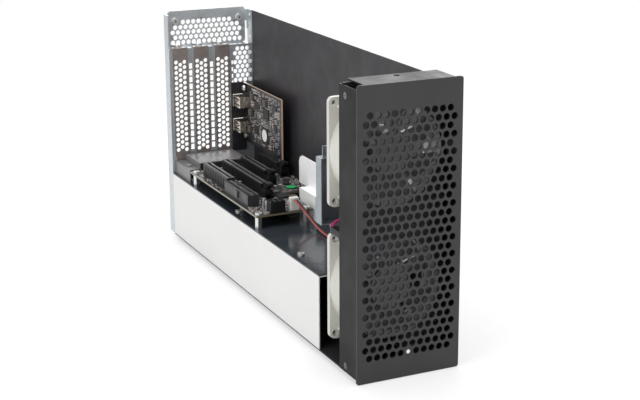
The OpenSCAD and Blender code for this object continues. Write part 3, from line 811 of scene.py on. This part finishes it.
# The middle of the two wires' route, how far each lies beside it, and their radius, in mm
SPLICE_RISE = [(5, 47.4, 101.6), (5, 50.2, 101.8), (5.6, 52.2, 103), (8, 53.2, 104.6), (12, 53.4, 106),
               (17, 53, 108.4), (22, 52, 112.4), (26, 50.8, 116.6), (28, 49.8, 119.6)]
WIRE_SHIFTS = (-0.9, 0.9)
WIRE_RADIUS = 0.65
TUBE_SIDES = 10
# A direction that no stretch of the wires runs along, to set a tube's sides by
TUBE_SIDEWAYS = Vector((1, 0, 0.2))


def tube(bm, path, radius):
    """A round tube along a list of points."""
    rings = []
    turns = [k * 2 * math.pi / TUBE_SIDES for k in range(TUBE_SIDES)]
    for i, point in enumerate(path):
        along = (path[min(i + 1, len(path) - 1)] - path[max(i - 1, 0)]).normalized()
        side = along.cross(TUBE_SIDEWAYS).normalized()
        other = along.cross(side)
        ring = [point + radius * (math.cos(a) * side + math.sin(a) * other) for a in turns]
        rings.append([bm.verts.new(corner) for corner in ring])
    for first, second in zip(rings, rings[1:]):
        for k in range(TUBE_SIDES):
            after = (k + 1) % TUBE_SIDES
            bm.faces.new((first[k], first[after], second[after], second[k]))
    bm.faces.new(rings[0])
    bm.faces.new(rings[-1])


def splice_block(mats):
    """The ribbed block of the upper fan's lead, lying on the lower fan."""
    block = bmesh.new()
    add_box(block, at(*SPLICE_LOW), at(*SPLICE_HIGH))
    left, front = SPLICE_LOW[:2]
    for k in range(RIB_COUNT):
        y = front + RIB_FIRST + k * RIB_PITCH
        add_box(block, at(left + RIB_X[0], y, RIB_Z[0]), at(left + RIB_X[1], y + RIB_LONG, RIB_Z[1]))
    soften(block, SPLICE_BEVEL * MM)
    new_piece("fan_splice", block, mats["black"])


def splice_wires(mats):
    """The two short wires that rise from the splice block to the upper fan."""
    wires = bmesh.new()
    for shift in WIRE_SHIFTS:
        tube(wires, [at(x + shift, y, z) for x, y, z in SPLICE_RISE], WIRE_RADIUS * MM)
    piece = new_piece("fan_splice_wires", wires, mats["magenta"])
    for face in piece.data.polygons:
        face.use_smooth = True


# Bracket end
# The white bracket's upright plate goes on behind the solid's, to a rounded upper corner, in mm
WING_X = (62, 63)
WING_FRONT = 217.9
WING_LOW = 83
WING_REAR = 236
WING_TOP = 107.5
WING_ROUND = 7
WING_STEPS = 6


def bracket_wing(mats):
    """The rounded rear end of the white bracket's upright plate."""
    turns = [math.radians(k * 90 / WING_STEPS) for k in range(WING_STEPS + 1)]
    arc = [(WING_REAR - WING_ROUND * (1 - math.cos(a)), WING_TOP - WING_ROUND * (1 - math.sin(a)))
           for a in turns]
    outline = [(WING_FRONT, WING_LOW), (WING_REAR, WING_LOW)] + arc + [(WING_FRONT, WING_TOP)]
    bm = bmesh.new()
    near = [bm.verts.new(at(WING_X[0], y, z)) for y, z in outline]
    far = [bm.verts.new(at(WING_X[1], y, z)) for y, z in outline]
    bm.faces.new(near)
    bm.faces.new(far)
    for k in range(len(outline)):
        after = (k + 1) % len(outline)
        bm.faces.new((near[k], near[after], far[after], far[k]))
    new_piece("card_support_end", bm, mats["white"])


# Fine edges
# The width of each CAD piece's bevel, in mm
BEVELLED = {"front_face": 0.22, "front_flanges": 0.25, "card_support": 0.25,
            "rear_support": 0.25, "psu_shelf": 0.25, "psu_side_panel": 0.25, "base_pan": 0.3,
            "fan_tray": 0.2, "slot_a": 0.25, "slot_b": 0.25, "slot_c": 0.25, "slot_d": 0.25,
            "power_header": 0.25, "cell_header": 0.25, "board_chips": 0.12, "host_chips": 0.12,
            "board_coils": 0.3, "host_coils": 0.3, "host_ports": 0.25, "host_bracket": 0.2,
            "power_supply": 0.4, "power_inlet": 0.3, "lead_plug": 0.25, "fan_header": 0.2}
# Sheets with small holes in large planes, whose thin triangles would show as lines, and what is flat
FLATTENED = ("base_pan", "front_flanges", "psu_side_panel", "psu_shelf")
FLAT = math.radians(0.5)


def round_edges(piece, width, flatten=False):
    """A weld and a fine bevel, as modifiers, after joining a plane's triangles where flatten is set."""
    weld = piece.modifiers.new("weld", "WELD")
    weld.merge_threshold = WELD
    if flatten:
        flat = piece.modifiers.new("flat", "DECIMATE")
        flat.decimate_type = "DISSOLVE"
        flat.angle_limit = FLAT
    bevel = piece.modifiers.new("edges", "BEVEL")
    bevel.width = width * MM
    bevel.segments = 2
    bevel.limit_method = "ANGLE"
    bevel.angle_limit = SHARP
    bevel.use_clamp_overlap = True


def bevel_edges():
    """Fine rounded edges on the sheets and blocks, as modifiers over the CAD meshes."""
    for name, width in BEVELLED.items():
        round_edges(NODES[name], width, name in FLATTENED)


# Rear sheets
# Their holes are in part.scad's places and wider than the solids' holes, in mm
REAR_Y = 383
FIRST_SLOT = 10
SLOT_PITCH = 20.32
SHEET_BEVEL = 0.16
HOLE_SIDES = 20

# Top plate: the count of holes in each row from the lowest, and their size, places and cut
PLATE_ROWS = (14, 13, 14, 13, 10)
PLATE_HOLE = 4.3
PLATE_X = BODY_W / 2 - 1
PLATE_Y = (391, 396)
PLATE_Z = 182
PLATE_PITCH = 5
PLATE_RISE = 4.6

# Slot covers: three columns, of which the middle one is half a pitch higher and one hole shorter
COVER_HOLE = 3.65
COVER_Y = (REAR_Y - 2, REAR_Y + 1)
COVER_Z = 84.2
COVER_COLUMN = 4
COVER_RISE = 4.8
COVER_COUNT = 18

# The field by the fourth slot: rows of four and three holes in turn, from left of the slot's middle
FIELD_HOLE = 4.1
FIELD_Y = (REAR_Y - 1, REAR_Y + 3)
FIELD_LEFT = 7.2
FIELD_Z = 144.5
FIELD_PITCH = 4.8
FIELD_RISE = 4.2
FIELD_ROWS = 8
FIELD_COUNT = 4

# The slots between the covers, and what comes off the corner tabs' lower ends to open the plate's holes
DIVIDER_HALF = 1.6
DIVIDER_Z = (83.4, 88.3)
DIVIDER_RISE = 6.3
DIVIDER_COUNT = 13
TABS_X = ((1.8, 14.5), (67.5, 80.2))
TABS_Y = (393, 396)
TABS_Z = (189, 197.8)


def hole_cutter(spots, diameter, reach):
    """Round cutters at each (x, z) of spots, over the two depths of reach."""
    bm = bmesh.new()
    front, rear = reach
    for x, z in spots:
        turn = Matrix.Translation(at(x, front, z)) @ TO_BACK
        add_disc(bm, (0, 0, 0), diameter / 2 * MM, (rear - front) * MM, turn, HOLE_SIDES)
    return bm


def cut_away(piece, cutter):
    """The piece's mesh less the cutter's, with flat faces."""
    bmesh.ops.recalc_face_normals(cutter, faces=cutter.faces)
    data = bpy.data.meshes.new(piece.name + "_cutter")
    cutter.to_mesh(data)
    cutter.free()
    tool = bpy.data.objects.new(piece.name + "_cutter", data)
    bpy.context.scene.collection.objects.link(tool)
    cut = piece.modifiers.new("cut", "BOOLEAN")
    cut.solver = "MANIFOLD"
    cut.object = tool
    bpy.context.view_layer.update()
    shape = bpy.data.meshes.new_from_object(piece.evaluated_get(bpy.context.evaluated_depsgraph_get()))
    piece.modifiers.clear()
    piece.data = shape
    bpy.data.objects.remove(tool)
    bpy.data.meshes.remove(data)
    for layer in [a for a in shape.attributes if a.name in ("custom_normal", "sharp_edge")]:
        shape.attributes.remove(layer)
    for face in shape.polygons:
        face.use_smooth = False


def widened(name, node, cutter, mat):
    """A copy of a CAD sheet, in the sheet's place, with wider openings."""
    bm = bmesh.new()
    bm.from_mesh(NODES[node].data)
    bmesh.ops.remove_doubles(bm, verts=bm.verts, dist=WELD)
    piece = new_piece(name, bm, mat)
    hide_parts(node)
    cut_away(piece, cutter)
    round_edges(piece, SHEET_BEVEL, True)


def open_top_plate(mats):
    """The top plate, with its rows of round holes."""
    spots = [(PLATE_X + (k - (count - 1) / 2) * PLATE_PITCH, PLATE_Z + row * PLATE_RISE)
             for row, count in enumerate(PLATE_ROWS) for k in range(count)]
    cutter = hole_cutter(spots, PLATE_HOLE, PLATE_Y)
    widened("top_plate_vented", "rear_top_plate", cutter, mats["zinc"])


def open_slot_covers(mats):
    """The three slot covers, with their columns of round holes."""
    for i in range(3):
        middle = FIRST_SLOT + i * SLOT_PITCH
        spots = []
        for column in (-1, 0, 1):
            count, lift = (COVER_COUNT - 1, COVER_RISE / 2) if column == 0 else (COVER_COUNT, 0)
            spots += [(middle + column * COVER_COLUMN, COVER_Z + k * COVER_RISE + lift)
                      for k in range(count)]
        cutter = hole_cutter(spots, COVER_HOLE, COVER_Y)
        widened(f"slot_cover_vented_{i + 1}", f"slot_cover_{i + 1}", cutter, mats["cover"])


def open_rear_sheet(mats):
    """The rear sheet: the field of holes, the slots between the covers and the shorter corner tabs."""
    first = FIRST_SLOT + 3 * SLOT_PITCH - FIELD_LEFT
    spots = [(first + k * FIELD_PITCH + row % 2 * FIELD_PITCH / 2, FIELD_Z + row * FIELD_RISE)
             for row in range(FIELD_ROWS) for k in range(FIELD_COUNT - row % 2)]
    cutter = hole_cutter(spots, FIELD_HOLE, FIELD_Y)
    for i in range(2):
        middle = FIRST_SLOT + (i + 0.5) * SLOT_PITCH
        for k in range(DIVIDER_COUNT):
            foot, top = (z + k * DIVIDER_RISE for z in DIVIDER_Z)
            add_box(cutter, at(middle - DIVIDER_HALF, FIELD_Y[0], foot),
                    at(middle + DIVIDER_HALF, FIELD_Y[1], top))
    for x0, x1 in TABS_X:
        add_box(cutter, at(x0, TABS_Y[0], TABS_Z[0]), at(x1, TABS_Y[1], TABS_Z[1]))
    widened("rear_sheet_vented", "rear_panel", cutter, mats["zinc"])


# Studio
# From the first distance to the second, in metres, the floor's share of plain white goes up
SHADOW_REACH = (0.45, 1.0)
WHITE_SHARES = (0.55, 1.0)
FLOOR_SIZE = 12
# How strong the world's light is on the part, beside a plain white backdrop
WORLD_FILL = 0.55

# The lamps: place and aim in metres, size in metres, and power in watts
LAMPS = [("key_left", (-1.5, -0.5, 1.1), (0, 0, 0.1), (1.2, 1.2), 13),
         ("front_fill", (0.5, -1.9, 0.9), (0, -0.1, 0.1), (1.2, 1.0), 11),
         ("top", (0, 0.1, 1.9), (0, 0, 0), (1.4, 1.4), 22),
         ("rim_back", (0.75, 1.25, 0.62), (0, -0.15, 0.2), (1.1, 0.4), 5)]


def make_floor():
    """A white floor with a soft shadow near the part, which fades out away from it."""
    bpy.ops.mesh.primitive_plane_add(size=FLOOR_SIZE, location=(0, 0, 0))
    floor = bpy.context.object
    floor.name = "studio_floor"
    mat, nodes, links, shader = new_material("studio_floor", grey(0.9), 0.85)
    clouds = noise(nodes, links, scale=2, detail=2)
    paint = ramp(nodes, links, clouds, [(0.2, grey(0.89)), (0.8, grey(0.91))])
    links.new(paint, shader.inputs["Base Color"])
    white = nodes.new("ShaderNodeEmission")
    white.inputs["Strength"].default_value = 1.0
    reach = vector_math(nodes, links, "LENGTH", coords(nodes))
    clear = map_range(nodes, links, reach, SHADOW_REACH, WHITE_SHARES)
    seen = nodes.new("ShaderNodeLightPath").outputs["Is Camera Ray"]
    share = number_math(nodes, links, "MULTIPLY", seen, clear)
    blend = shader_mix(nodes, links, share, shader.outputs["BSDF"], white.outputs["Emission"])
    links.new(blend, nodes["Material Output"].inputs["Surface"])
    floor.data.materials.append(mat)


def make_world():
    """A plain white backdrop, also in what mirrors and lets light through, and a softer light."""
    world = bpy.data.worlds.new("studio")
    bpy.context.scene.world = world
    world.use_nodes = True
    nodes, links = world.node_tree.nodes, world.node_tree.links
    soft = nodes["Background"]
    white = nodes.new("ShaderNodeBackground")
    for background, strength in ((soft, WORLD_FILL), (white, 1.0)):
        background.inputs["Color"].default_value = (1, 1, 1, 1)
        background.inputs["Strength"].default_value = strength
    path = nodes.new("ShaderNodeLightPath")
    share = path.outputs["Is Camera Ray"]
    for kind in ("Is Glossy Ray", "Is Transmission Ray"):
        share = number_math(nodes, links, "MAXIMUM", share, path.outputs[kind])
    blend = shader_mix(nodes, links, share, soft.outputs["Background"], white.outputs["Background"])
    links.new(blend, nodes["World Output"].inputs["Surface"])


def soft_lamp(name, place, target, size, power):
    """A square or oblong lamp that the camera doesn't see."""
    data = bpy.data.lights.new(name, "AREA")
    data.shape = "RECTANGLE"
    data.size, data.size_y = size
    data.energy = power
    lamp = bpy.data.objects.new(name, data)
    bpy.context.scene.collection.objects.link(lamp)
    lamp.location = place
    aim = Vector(target) - Vector(place)
    lamp.rotation_euler = aim.to_track_quat("-Z", "Y").to_euler()
    lamp.visible_camera = False


def make_lights():
    for values in LAMPS:
        soft_lamp(*values)


make_camera()
make_floor()
make_world()
make_lights()
MATS = make_materials()
dress_cad(MATS)
bevel_edges()
open_top_plate(MATS)
open_slot_covers(MATS)
open_rear_sheet(MATS)
dress_boards(MATS)
slot_contacts(MATS)
header_pins(MATS)
screw_recess_shade(MATS)
stickers(MATS)
card_screws(MATS)
port_tongues(MATS)
splice_block(MATS)
splice_wires(MATS)
bracket_wing(MATS)
bpy.context.scene.view_settings.view_transform = "Standard"
